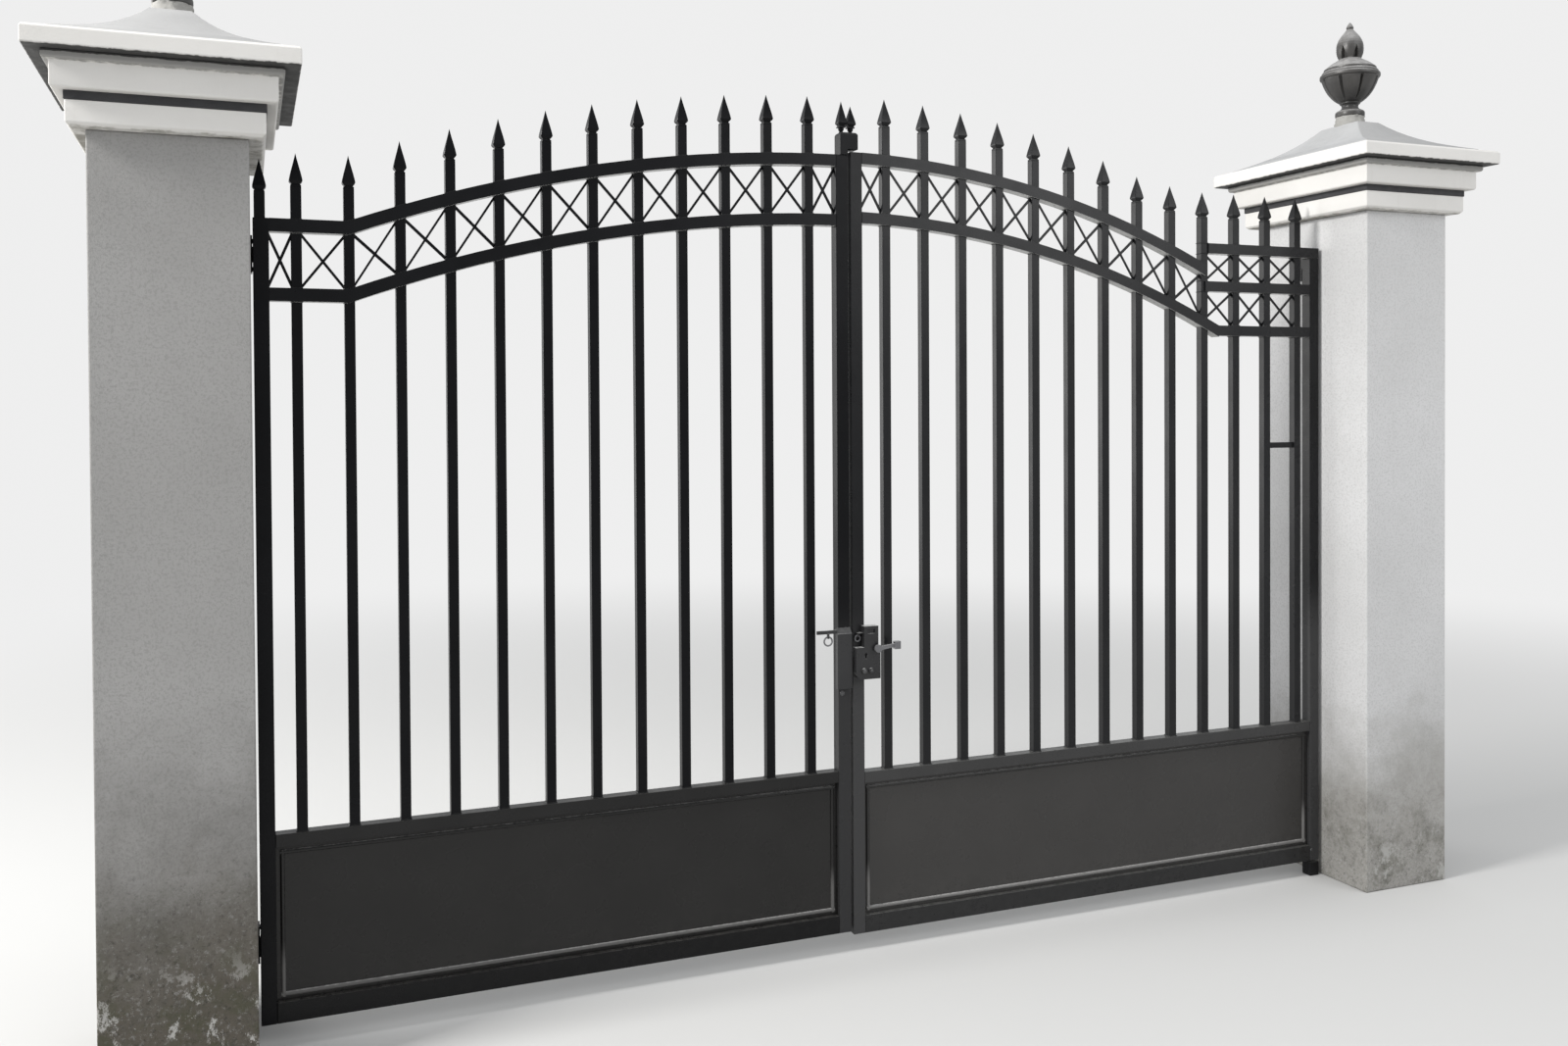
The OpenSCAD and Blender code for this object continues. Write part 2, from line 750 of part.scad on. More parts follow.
// Lock case on the front of the right meeting stile
case_x0 = rx0;
case_w = 75;
case_h = 90;
case_y0 = front_y - case_t;
lever_x = case_x0 + 64;
right_ring_x = rx0 + 12;
right_ring_z = lock_z + 24;
module lock_case() {
    color(iron)
        difference() {
            union() {
                upright(front_y - case_t / 2, case_t) {
                    difference() {
                        translate([case_x0, lock_z - case_h])
                            square([case_w, case_h]);
                        translate([case_x0 - 1, lock_z - case_h - 1])
                            square([23, 23]);
                    }
                    translate([case_x0 + 22, lock_z - case_h + 22])
                        circle(r = 22);
                    translate([case_x0 + 25, lock_z - 1])
                        square([44, 60]);
                }
                // Lug for the ring
                block([right_ring_x - 2, front_y - 12, right_ring_z + right_ring_r - 4.2],
                    [right_ring_x + 2, front_y, right_ring_z + right_ring_r + 8]);
                block([right_ring_x - 2, front_y - 12, right_ring_z + right_ring_r + 4],
                    [case_x0 + 27, front_y, right_ring_z + right_ring_r + 8]);
                // Heads of the two round bolts
                for (dx = [24, 46])
                    translate([case_x0 + dx, case_y0, lock_z - 66])
                        rotate([90, 0, 0])
                            cylinder(r = 8, h = 5);
            }
            // Bore for the lever's spindle
            translate([lever_x, case_y0 - 1, lever_z])
                rotate([-90, 0, 0])
                    cylinder(r = spindle_r + run, h = 15);
            // Window near the top
            block([case_x0 + 36, case_y0 - 1, lock_z + 38], [case_x0 + 58, case_y0 + 5, lock_z + 50]);
            // Keyhole
            translate([case_x0 + 30, case_y0 - 1, lock_z - 20])
                rotate([-90, 0, 0])
                    cylinder(r = 4, h = 8);
            block([case_x0 + 28, case_y0 - 1, lock_z - 32], [case_x0 + 32, case_y0 + 7, lock_z - 20]);
            // Hole of the ring's lug
            translate([right_ring_x - 5, front_y - 7, right_ring_z + right_ring_r + 0.6])
                rotate([0, 90, 0])
                    cylinder(r = ring_wire + 1, h = 10);
        }
}

module right_pull_ring() { ring(right_ring_x, front_y - 7, right_ring_z, right_ring_r); }

// Lever: a spindle in the case, a flat arm and a square end block
lever_y1 = case_y0 - lever_clear;
lever_y0 = lever_y1 - 9;
module lever_handle() {
    color(iron) {
        translate([lever_x, case_y0 + 12, lever_z])
            rotate([90, 0, 0])
                cylinder(r = spindle_r, h = 12 + lever_clear + 1);
        translate([lever_x, lever_y1, lever_z])
            rotate([90, 0, 0])
                cylinder(r = 11, h = 9);
        rotate([90, 0, 0])
            translate([0, 0, -lever_y1])
                linear_extrude(9)
                    polygon([
                        [lever_x, lever_z - 6], [lever_x + lever_len - 16, lever_z + 2],
                        [lever_x + lever_len - 16, lever_z + 11], [lever_x, lever_z + 6]
                    ]);
        block([lever_x + lever_len - 18, lever_y0 - 5, lever_z - 4],
            [lever_x + lever_len, lever_y1 + 1, lever_z + 18]);
    }
}

left_pier_shaft();
left_cornice();
left_dark_band();
left_cap_slab();
left_pyramid_cap();
left_urn();
right_pier_shaft();
right_cornice();
right_dark_band();
right_cap_slab();
right_pyramid_cap();
right_urn();
left_hinge_brackets();
right_hinge_brackets();
right_foot_post();
left_hinge_stile();
left_meeting_stile();
left_upper_rail();
left_lower_rail();
left_panel_rails();
left_pickets();
left_spears();
left_cross_braces();
left_kick_panel();
left_beading();
left_hinge_knuckles();
meeting_block();
keeper_box();
left_pull_ring();
right_hinge_stile();
right_meeting_stile();
right_upper_rail();
right_lower_rail();
right_end_rails();
right_panel_rails();
right_pickets();
right_tie_bar();
right_spears();
right_cross_braces();
right_kick_panel();
right_beading();
right_hinge_knuckles();
lock_case();
right_pull_ring();
lever_handle();
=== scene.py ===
import json
import math
import bpy
import bmesh
from mathutils import Matrix, Vector, noise


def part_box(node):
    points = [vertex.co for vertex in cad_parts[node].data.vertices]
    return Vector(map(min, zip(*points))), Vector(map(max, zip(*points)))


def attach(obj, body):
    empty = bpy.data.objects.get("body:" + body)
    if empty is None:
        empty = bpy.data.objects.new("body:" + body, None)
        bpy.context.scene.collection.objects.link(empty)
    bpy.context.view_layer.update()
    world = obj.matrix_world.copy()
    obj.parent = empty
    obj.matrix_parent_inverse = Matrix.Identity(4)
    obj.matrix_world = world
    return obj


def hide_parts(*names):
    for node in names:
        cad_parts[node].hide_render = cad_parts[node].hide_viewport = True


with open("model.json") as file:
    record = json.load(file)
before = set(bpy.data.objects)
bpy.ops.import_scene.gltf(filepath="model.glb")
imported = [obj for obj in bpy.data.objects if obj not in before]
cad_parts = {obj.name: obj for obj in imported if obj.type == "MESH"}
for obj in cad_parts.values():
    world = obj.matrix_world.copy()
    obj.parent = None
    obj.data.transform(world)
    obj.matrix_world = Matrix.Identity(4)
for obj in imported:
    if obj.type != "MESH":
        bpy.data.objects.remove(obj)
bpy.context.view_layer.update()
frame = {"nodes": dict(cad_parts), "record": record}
body_of = {n: b for b, names in frame["record"]["behaviour"]["bodies"].items() for n in names}
slot_of = {s["node"]: s["material_slot"] for s in frame["record"]["subparts"]}

# ---------------------------------------------------------------- sizes
# Repeated from the CAD source, in metres
PIER_X = [0.0, 3.579]  # middles of the two piers
SHAFT_H, Z_TOP = 2.145, 2.463  # tops of a pier's shaft and of its cap
SOFFIT_Z = 2.276  # underside of the step below the cap slab
URN_H, URN_R = 0.343, 0.094
GATE_Y, FRONT_Y = -0.031, -0.049  # middle of the leaves, and front of their stiles
RAIL, PICKET = 0.032, 0.025  # tube sizes
LX0, MID_X = 0.1705, 1.7265  # the left leaf's outer side, and the meeting line
L_BEND, R_BEND = 0.3855, 3.0015  # where the left rails and the lower right rail turn flat
POST_X = 2.95  # the right picket at which the upper arch ends and the short flat rails start
LEFT_R, RIGHT_R = 3.790, 2.880  # radii of the arches, and their highest points
LEFT_CROWN, RIGHT_CROWN = 2.242, 2.252
LEFT_PANEL, RIGHT_PANEL = 0.517, 0.507  # tops of the rails over the kick panels
BAND = 0.166  # from the top of the upper rail to the top of the lower one
PICKET_OVER = 0.079  # how far a picket stands over the upper rail
SPEAR_W, SPEAR_H = 0.031, 0.081
MID_RAIL, END_RAIL, RIGHT_FLAT = 1.9264, 2.0454, 1.7884  # tops of the right leaf's flat rails
LEFT_XS = [0.2685 + 1.339 / 11 * i for i in range(12)]
RIGHT_XS = [1.8445 + 1.474 / 12 * i for i in range(13)]

# Camera fitted to the photograph: angles in degrees
CAMERA_AT = (0.149577, -3.522789, 1.532908)
CAMERA_YAW, CAMERA_DOWN, CAMERA_ROLL = 21.623, 0.814, -0.33
CAMERA_LENS, CAMERA_SHIFT = 31.202, -0.06025

BACKGROUND = (0.86, 0.86, 0.86, 1)
FLOOR_COLOR = (0.6, 0.6, 0.595, 1)
FLOOR_MIDDLE = (1.8, 0, -0.0005)
FLOOR_RADIUS = 60
FLOOR_FADE = (2.5, 9)  # from here to here the floor runs into the background


def arch(x, crown, r):
    return crown - r + math.sqrt(r * r - (x - MID_X) ** 2)


def left_top(x):
    """Top of the left leaf's upper rail."""
    return arch(max(x, L_BEND), LEFT_CROWN, LEFT_R)


def right_top(x):
    """Top of the right leaf's upper rail."""
    return arch(x, RIGHT_CROWN, RIGHT_R)


def right_lower(x):
    """Top of the right leaf's lower rail."""
    return right_top(x) - BAND if x < R_BEND else RIGHT_FLAT


# ---------------------------------------------------------------- camera
def make_camera():
    yaw, pitch, roll = (math.radians(a) for a in (CAMERA_YAW, CAMERA_DOWN, CAMERA_ROLL))
    fwd = Vector((math.sin(yaw) * math.cos(pitch), math.cos(yaw) * math.cos(pitch), -math.sin(pitch)))
    level = Vector((math.cos(yaw), -math.sin(yaw), 0))
    upright = level.cross(fwd)
    right = level * math.cos(roll) + upright * math.sin(roll)
    up = upright * math.cos(roll) - level * math.sin(roll)
    data = bpy.data.cameras.new("camera")
    data.sensor_fit = "HORIZONTAL"
    data.sensor_width = 36
    data.lens = CAMERA_LENS
    data.shift_y = CAMERA_SHIFT
    data.clip_end = 200
    cam = bpy.data.objects.new("camera", data)
    bpy.context.scene.collection.objects.link(cam)
    place = Matrix((right, up, -fwd)).transposed().to_4x4()
    place.translation = Vector(CAMERA_AT)
    cam.matrix_world = place
    bpy.context.scene.camera = cam


# ---------------------------------------------------------------- materials
class Mat:
    """A material being built from nodes: layers of colour, roughness and bump on one Principled shader."""

    def __init__(self, name):
        self.mat = bpy.data.materials.new(name)
        self.mat.use_nodes = True
        self.tree = self.mat.node_tree
        self.tree.nodes.clear()
        out = self.tree.nodes.new("ShaderNodeOutputMaterial")
        self.bsdf = self.tree.nodes.new("ShaderNodeBsdfPrincipled")
        self.join(self.bsdf.outputs[0], out.inputs[0])
        self.place = self.tree.nodes.new("ShaderNodeTexCoord").outputs["Object"]
        split = self.tree.nodes.new("ShaderNodeSeparateXYZ")
        self.join(self.place, split.inputs[0])
        self.height = split.outputs["Z"]
        self.color = None
        self.bump = None

    def join(self, a, b):
        """Links the output a to the input b, or sets b when a is a number or a colour."""
        if not isinstance(a, (int, float, tuple)):
            self.tree.links.new(a, b)
        elif isinstance(a, tuple):
            b.default_value = (*a, 1.0)
        else:
            b.default_value = a

    def fit(self, value, a, b, c=0.0, d=1.0):
        """Maps value smoothly from a..b to c..d."""
        n = self.tree.nodes.new("ShaderNodeMapRange")
        n.interpolation_type = "SMOOTHSTEP"
        self.join(value, n.inputs["Value"])
        for key, v in zip(("From Min", "From Max", "To Min", "To Max"), (a, b, c, d)):
            n.inputs[key].default_value = v
        return n.outputs[0]

    def noise(self, scale, detail, rough, stretch=None):
        n = self.tree.nodes.new("ShaderNodeTexNoise")
        where = self.place
        if stretch:
            mapping = self.tree.nodes.new("ShaderNodeMapping")
            mapping.inputs["Scale"].default_value = stretch
            self.join(self.place, mapping.inputs[0])
            where = mapping.outputs[0]
        self.join(where, n.inputs["Vector"])
        n.inputs["Scale"].default_value = scale
        n.inputs["Detail"].default_value = detail
        n.inputs["Roughness"].default_value = rough
        return n.outputs[0]

    def patches(self, scale, detail, rough, low, high, least=0.0, most=1.0, stretch=None):
        """A mask from noise: least where the noise is under low, most where it is over high."""
        return self.fit(self.noise(scale, detail, rough, stretch), low, high, least, most)

    def math(self, kind, a, b):
        n = self.tree.nodes.new("ShaderNodeMath")
        n.operation = kind
        self.join(a, n.inputs[0])
        self.join(b, n.inputs[1])
        return n.outputs[0]

    def times(self, a, b):
        return self.math("MULTIPLY", a, b)

    def plus(self, a, b):
        return self.math("ADD", a, b)

    def between(self, value, low, high):
        """A mask that is 1 between two soft edges, each given as (0 here, 1 there)."""
        return self.times(self.fit(value, *high), self.fit(value, *low))

    def facing(self, axis, a, b, c=0.0, d=1.0):
        """A mask from one axis of the surface's own direction."""
        geometry = self.tree.nodes.new("ShaderNodeNewGeometry")
        split = self.tree.nodes.new("ShaderNodeSeparateXYZ")
        self.join(geometry.outputs["True Normal"], split.inputs[0])
        return self.fit(split.outputs[axis], a, b, c, d)

    def mix(self, share, a, b):
        n = self.tree.nodes.new("ShaderNodeMix")
        n.data_type = "RGBA"
        self.join(share, n.inputs["Factor"])
        self.join(a, n.inputs[6])
        self.join(b, n.inputs[7])
        return n.outputs[2]

    def base(self, share, a, b):
        self.color = self.mix(share, a, b)

    def lay(self, share, color):
        """Lays a colour over what is there already."""
        self.color = self.mix(share, self.color, color)

    def bumpy(self, height, distance, strength):
        n = self.tree.nodes.new("ShaderNodeBump")
        n.inputs["Distance"].default_value = distance
        n.inputs["Strength"].default_value = strength
        self.join(height, n.inputs["Height"])
        if self.bump is not None:
            self.join(self.bump, n.inputs["Normal"])
        self.bump = n.outputs[0]

    def done(self, rough, specular):
        self.join(self.color, self.bsdf.inputs["Base Color"])
        self.join(rough, self.bsdf.inputs["Roughness"])
        self.join(self.bump, self.bsdf.inputs["Normal"])
        self.bsdf.inputs["Specular IOR Level"].default_value = specular
        return self.mat


def iron_paint(name, dark, light, dust_and_highlight, specular, low_dirt=0.0, patch=1.0, underside_light=None, low=None, gloss=0.0):
    """Paint on steel. low is (full below, none above, colour): a colour towards the bottom, painted light on the
    stiles and beads. The colour on faces that look up is dust, and a painted highlight where it is pale; the colour
    for the undersides is painted light.
    """
    m = Mat(name)
    m.base(m.patches(5, 3, 0.55, 0.3, 0.75, 0.0, patch), dark, light)
    if low:
        full, none, shade = low
        m.lay(m.fit(m.height, none, full), shade)
    # Dust on faces that look up; where its colour is pale it is a painted highlight
    dust_and_highlight_patches = m.patches(60, 4, 0.7, 0.3, 0.65, 0.25, 0.9)
    m.lay(m.times(m.facing("Z", 0.6, 0.95), dust_and_highlight_patches), dust_and_highlight)
    rough = m.patches(12, 3, 0.55, 0.3, 0.7, 0.25 - gloss, 0.32 - gloss)
    if low_dirt:
        splash = m.times(m.fit(m.height, 0.22, 0.06), m.patches(45, 6, 0.75, 0.42, 0.68))
        m.lay(m.times(splash, low_dirt), dust_and_highlight)
        rough = m.plus(rough, m.times(splash, 0.2))
    if underside_light:
        # Painted light on the undersides, broken by dashes of painted shadow
        dappled_shadow = m.patches(55, 6, 0.8, 0.56, 0.62, 1.0, 0.35, (0.35, 1, 1))
        m.lay(m.times(m.facing("Z", -0.75, -0.9), dappled_shadow), underside_light)
    m.bumpy(m.noise(14, 2, 0.5), 0.001, 0.1)
    return m.done(rough, specular)


def wall_render(name, pale, shade, foot, warm, foot_top, speck, bloom_top):
    """Render on a pier. Damp rises to about foot_top and lime bloom to bloom_top; speck is the share of dirt."""
    m = Mat(name)
    m.base(m.patches(1.7, 5, 0.6, 0.32, 0.72, 0.0, 0.8), pale, shade)
    m.lay(m.patches(7, 5, 0.6, 0.5, 0.8, 0.0, 0.3, (1, 1, 0.1)), shade)
    m.lay(m.patches(150, 4, 0.75, 0.47, 0.62, 0.0, 0.5), tuple(0.78 * c for c in shade))
    # A soft dark rise of damp with a ragged top
    damp = m.plus(m.height, m.times(m.noise(2.6, 7, 0.72), -1.1))
    m.lay(m.times(m.fit(damp, foot_top - 0.45, -0.42), 0.92), foot)
    # Brown wash over the lowest half metre
    wash = m.plus(m.height, m.times(m.noise(5, 6, 0.7, (1, 1, 0.55)), -0.55))
    m.lay(m.times(m.fit(wash, 0.38, -0.12), 0.55 * speck), warm)
    spots = m.times(m.fit(m.height, foot_top * 0.8, 0.0), speck)
    m.lay(m.times(m.patches(120, 8, 0.85, 0.53, 0.62), spots), (0.05, 0.048, 0.042))
    # Grit that shows through the dirt, light and dark
    gritty = m.fit(m.height, foot_top * 0.85, foot_top * 0.2)
    m.lay(m.times(m.patches(95, 5, 0.8, 0.55, 0.63), m.times(gritty, 0.5 * speck)), tuple(0.85 * c for c in pale))
    m.lay(m.times(m.patches(62, 6, 0.8, 0.54, 0.63), m.times(gritty, 0.6 * speck)), tuple(0.45 * c for c in foot))
    # Dark blots, moss and lime bloom near the ground
    near = m.times(m.fit(m.height, 0.24 + bloom_top, 0.0), 0.75 * speck)
    m.lay(m.times(m.patches(16, 8, 0.8, 0.5, 0.66), near), (0.06, 0.058, 0.05))
    m.lay(m.times(m.patches(9, 6, 0.75, 0.47, 0.62), near), (0.055, 0.057, 0.033))
    bloom = m.fit(m.height, bloom_top, bloom_top * 0.45, 0.0, 0.85)
    m.lay(m.times(m.patches(9, 7, 0.8, 0.55, 0.6, stretch=(1, 1, 0.7)), bloom), (0.42, 0.415, 0.40))
    m.bumpy(m.noise(7, 3, 0.5), 0.004, 0.3)
    m.bumpy(m.noise(60, 4, 0.6), 0.0012, 0.25)
    m.bumpy(m.noise(300, 5, 0.75), 0.0012, 0.45)
    return m.done(m.patches(40, 4, 0.55, 0.3, 0.7, 0.8, 0.92), 0.3)


def under_slab_shade(m):
    """Painted shade on the step under the cap slab, a dark painted shadow line under the slab, and a patchy darker
    line along the cornice's foot.
    """
    edge = m.plus(m.height, m.patches(40, 4, 0.7, 0.3, 0.7, -0.0012, 0.0012))
    # Painted shade on the step under the slab
    step = m.between(edge, (SOFFIT_Z - 0.002, SOFFIT_Z + 0.001), (SOFFIT_Z + 0.024, SOFFIT_Z + 0.018))
    m.lay(m.times(step, 0.8), (0.17, 0.168, 0.16))
    # Painted shadow line right under the slab
    line = m.between(edge, (SOFFIT_Z + 0.0135, SOFFIT_Z + 0.0145), (SOFFIT_Z + 0.021, SOFFIT_Z + 0.020))
    m.lay(m.times(line, 0.9), (0.02, 0.02, 0.02))
    # A patchy darker line along the cornice's foot
    foot = m.times(m.fit(edge, SHAFT_H + 0.004, SHAFT_H + 0.0005), m.patches(9, 5, 0.7, 0.4, 0.6))
    m.lay(m.times(foot, 0.8), (0.16, 0.15, 0.12))


def masonry_paint(name, pale, dirt, amount, grain=0.5, under_slab=False, front_shade=0.0):
    """Paint on masonry; the last argument is how much darker the side towards -Y is, which is painted shade."""
    m = Mat(name)
    m.base(m.patches(4, 5, 0.6, 0.4, 0.8, 0.0, 0.35 * amount), pale, dirt)
    m.lay(m.patches(26, 5, 0.7, 0.56, 0.8, 0.0, 0.5 * amount, (1, 1, 0.08)), dirt)
    top = m.times(m.facing("Z", 0.5, 0.9), m.patches(22, 6, 0.75, 0.35, 0.65, 0.1, 0.6))
    m.lay(m.times(top, amount), dirt)
    # Faces that look down are darker: painted shade.
    m.lay(m.times(m.facing("Z", -0.4, -0.9), 0.3), dirt)
    # The side towards -Y is darker: painted shade.
    if front_shade:
        m.lay(m.facing("Y", -0.05, -0.3, 0.0, front_shade), dirt)
    m.lay(m.patches(75, 8, 0.85, 0.68, 0.74, 0.0, 0.7 * amount), dirt)
    if under_slab:
        under_slab_shade(m)
    m.bumpy(m.noise(9, 3, 0.5), 0.003, 0.25)
    m.bumpy(m.noise(280, 4, 0.7), 0.001, grain)
    return m.done(m.patches(30, 4, 0.55, 0.3, 0.7, 0.62, 0.82), 0.35)


def urn_paint(name):
    """Dark cast stone, with a painted highlight where it faces up, painted shade where it faces down and black
    painted shade round the neck.
    """
    m = Mat(name)
    m.base(m.patches(13, 4, 0.6, 0.35, 0.7), (0.028, 0.027, 0.026), (0.056, 0.053, 0.050))
    # Pale faces that look up: painted highlight, partly wear.
    wear_and_highlight = m.times(m.facing("Z", -0.05, 0.85), m.patches(45, 5, 0.7, 0.25, 0.7, 0.45, 1.0))
    m.lay(m.times(wear_and_highlight, 0.9), (0.36, 0.355, 0.352))
    # Darker faces that look down: painted shade.
    m.lay(m.times(m.facing("Z", -0.2, -0.85), 0.6), (0.022, 0.021, 0.02))
    # Black round the neck under the bowl: painted shade.
    neck = m.between(m.height, (Z_TOP + 0.046, Z_TOP + 0.054), (Z_TOP + 0.085, Z_TOP + 0.076))
    m.lay(m.times(neck, 0.8), (0.02, 0.02, 0.02))
    m.bumpy(m.noise(60, 4, 0.6), 0.0012, 0.25)
    m.bumpy(m.noise(420, 4, 0.7), 0.0005, 0.4)
    return m.done(m.patches(30, 4, 0.55, 0.3, 0.7, 0.34, 0.5), 0.5)


def make_materials():
    """All the materials. The left leaf and pier take darker copies of the right-hand paints, which is painted
    shade.
    """
    dust_and_highlight, dust_right, underside_light = (0.045, 0.045, 0.043), (0.07, 0.07, 0.067), (0.42, 0.42, 0.41)
    return {
        "iron": iron_paint(
            "charcoal_paint", (0.0030, 0.0032, 0.0040), (0.0055, 0.0057, 0.0068), dust_and_highlight, 0.12),
        "iron_right": iron_paint(
            "charcoal_paint_right", (0.0080, 0.0083, 0.0093), (0.012, 0.0122, 0.0132), dust_right, 0.22),
        "rail": iron_paint(
            "rail_paint", (0.0040, 0.0042, 0.0052), (0.0075, 0.0078, 0.009), dust_and_highlight, 0.15, underside_light=underside_light),
        "rail_right": iron_paint(
            "rail_paint_right", (0.0085, 0.0088, 0.0098), (0.013, 0.0132, 0.0142), dust_right, 0.25, underside_light=underside_light),
        # Both stile paints turn lighter below the lock: painted light.
        "stile": iron_paint(
            "stile_paint", (0.0028, 0.0030, 0.0037), (0.005, 0.0052, 0.0062), dust_and_highlight, 0.12,
            low=(0.76, 1.0, (0.034, 0.034, 0.035))),
        "stile_right": iron_paint(
            "stile_paint_right", (0.0055, 0.0057, 0.0065), (0.009, 0.0092, 0.0102), dust_right, 0.2,
            low=(0.76, 1.0, (0.046, 0.046, 0.047))),
        "frame": iron_paint(
            "panel_frame_paint", (0.014, 0.0138, 0.0138), (0.019, 0.0187, 0.0187), (0.06, 0.058, 0.055), 0.2,
            0.06, low=(0.16, 0.4, (0.004, 0.004, 0.0045))),
        "frame_right": iron_paint(
            "panel_frame_paint_right", (0.036, 0.0358, 0.036), (0.044, 0.0438, 0.044), (0.10, 0.10, 0.095), 0.3,
            0.06, low=(0.16, 0.4, (0.017, 0.017, 0.0175))),
        "panel": iron_paint(
            "panel_paint_left", (0.0155, 0.0149, 0.0144), (0.0195, 0.0188, 0.0181), (0.06, 0.056, 0.051), 0.25,
            0.2, 0.7),
        "panel_right": iron_paint(
            "panel_paint_right", (0.040, 0.0384, 0.037), (0.046, 0.0442, 0.0425), (0.10, 0.094, 0.087), 0.3,
            0.2, 0.7),
        # On the beads, the pale colour on faces that look up is a painted highlight, and the lighter bottom bead is
        # painted light.
        "bead": iron_paint(
            "bead_paint_left", (0.008, 0.0078, 0.0077), (0.011, 0.0107, 0.0105), (0.35, 0.345, 0.34), 0.3,
            low=(0.18, 0.26, (0.10, 0.098, 0.096)), gloss=0.08),
        "bead_right": iron_paint(
            "bead_paint_right", (0.014, 0.0137, 0.0133), (0.019, 0.0186, 0.018), (0.4, 0.395, 0.39), 0.35,
            low=(0.18, 0.26, (0.15, 0.147, 0.144)), gloss=0.08),
        # The lock's near-white colour on faces that look up is a painted highlight.
        "lock": iron_paint("lock_paint", (0.020, 0.020, 0.0212), (0.027, 0.027, 0.0282), (0.62, 0.62, 0.61), 0.35),
        "wear_and_highlight": iron_paint("worn_steel", (0.075, 0.075, 0.08), (0.15, 0.15, 0.158), (0.3, 0.3, 0.3), 0.6),
        # The bolts' pale tops are a painted highlight.
        "bolt": iron_paint(
            "bolt_steel", (0.045, 0.045, 0.047), (0.07, 0.07, 0.073), (0.5, 0.5, 0.5), 0.6, gloss=0.05),
        "render": wall_render(
            "grey_render_right", (0.61, 0.61, 0.615), (0.53, 0.53, 0.53), (0.29, 0.284, 0.268),
            (0.36, 0.345, 0.32), foot_top=0.58, speck=0.6, bloom_top=0.22),
        # The left pier's render is a darker copy of the right one: painted shade.
        "render_left": wall_render(
            "grey_render_shaded_left", (0.32, 0.317, 0.312), (0.275, 0.272, 0.266), (0.055, 0.051, 0.043),
            (0.1, 0.086, 0.066), foot_top=0.9, speck=1.0, bloom_top=0.36),
        "cornice": masonry_paint(
            "cream_paint", (0.67, 0.66, 0.64), (0.46, 0.44, 0.40), 0.4, grain=0.4, under_slab=True),
        "band": masonry_paint("dark_band_paint", (0.035, 0.035, 0.038), (0.065, 0.063, 0.06), 0.5),
        # The cap's side towards -Y is darker: painted shade.
        "cap": masonry_paint("cap_render", (0.45, 0.455, 0.46), (0.31, 0.31, 0.31), 0.5, grain=0.7, front_shade=0.7),
        "urn": urn_paint("urn_stone"),
        "mortar": masonry_paint("rough_mortar", (0.33, 0.325, 0.31), (0.12, 0.115, 0.10), 1.0, grain=1.0),
    }


# ---------------------------------------------------------------- mesh helpers
def new_piece(name, bm, mat, body, nodes=(), smooth=35, bevel=0.0, segments=2):
    """Turns a bmesh into a piece that rides on a body. Faces that meet at less than smooth degrees shade as one."""
    bmesh.ops.recalc_face_normals(bm, faces=bm.faces)
    me = bpy.data.meshes.new(name)
    bm.to_mesh(me)
    bm.free()
    me.materials.clear()
    me.materials.append(mat)
    me.polygons.foreach_set("use_smooth", [True] * len(me.polygons))
    me.set_sharp_from_angle(angle=math.radians(smooth))
    ob = bpy.data.objects.new(name, me)
    bpy.context.scene.collection.objects.link(ob)
    if bevel:
        mod = ob.modifiers.new("edge", "BEVEL")
        mod.width = bevel
        mod.segments = segments
        mod.limit_method = "ANGLE"
        mod.angle_limit = math.radians(35)
        mod.harden_normals = True
        mod.use_clamp_overlap = True
    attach(ob, body)
    if nodes:
        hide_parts(*nodes)


def from_node(node, mat, bevel, segments):
    """A copy of a CAD node's mesh with its small triangles joined and its edges rounded."""
    bm = bmesh.new()
    bm.from_mesh(frame["nodes"][node].data)
    bmesh.ops.remove_doubles(bm, verts=bm.verts, dist=1e-5)
    bmesh.ops.dissolve_limit(bm, angle_limit=math.radians(0.4), verts=bm.verts, edges=bm.edges)
    new_piece(node + "_finish", bm, mat, body_of[node], (node,), bevel=bevel, segments=segments)


def skin(bm, rings):
    """Faces between rings of vertices that have the same length, and a face over each end."""
    n = len(rings[0])
    for lo, up in zip(rings, rings[1:]):
        for j in range(n):
            k = (j + 1) % n
            bm.faces.new((lo[j], lo[k], up[k], up[j]))
    bm.faces.new(rings[0][::-1])
    bm.faces.new(rings[-1])


def lathe(bm, rows, cx, cy, steps, radius):
    """A form round an upright line. Each row starts with its height; radius(row, angle) gives metres."""
    rings = []
    for row in rows:
        ring = []
        for j in range(steps):
            a = 2 * math.pi * j / steps
            r = radius(row, a)
            ring.append(bm.verts.new((cx + r * math.cos(a), cy + r * math.sin(a), row[0])))
        rings.append(ring)
    skin(bm, rings)


def add_box(bm, a, b):
    v = [bm.verts.new((x, y, z)) for x in (a[0], b[0]) for y in (a[1], b[1]) for z in (a[2], b[2])]
    for f in ((0, 1, 3, 2), (4, 6, 7, 5), (0, 4, 5, 1), (2, 3, 7, 6), (0, 2, 6, 4), (1, 5, 7, 3)):
        bm.faces.new([v[i] for i in f])


